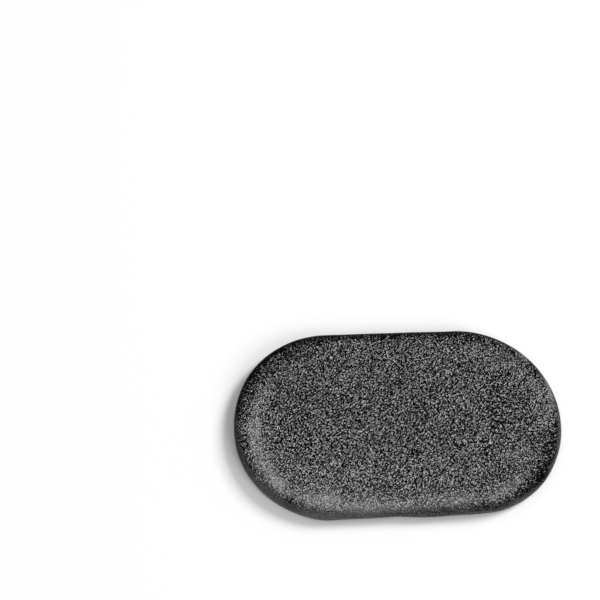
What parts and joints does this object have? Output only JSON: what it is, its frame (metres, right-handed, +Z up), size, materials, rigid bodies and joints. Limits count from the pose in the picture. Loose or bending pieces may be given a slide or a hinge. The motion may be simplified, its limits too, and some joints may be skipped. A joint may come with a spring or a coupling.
{
  "type": "jewelry display pad",
  "caption": "Low oval display pad: velvet pulled over foam on a stiff board, its hem glued under and hidden by a card, for laying jewelry on.",
  "frame": {"origin": "middle of the underside of the backing card, on the surface that the pad lies on", "axes": "+Z up, out of the velvet display face; +X along the pad's length; +Y across it, towards its far side in the picture"},
  "size_m": [0.216, 0.127, 0.0127],
  "materials": {
    "velvet": "charcoal black short-pile velvet",
    "foam": "grey open-cell foam",
    "board": "brown hardboard",
    "card": "matt black card with a fine embossed grain"
  },
  "bodies": {
    "root": {"velvet_cover": "velvet", "foam_padding": "foam", "base_board": "board", "backing_card": "card"}
  },
  "joints": []
}
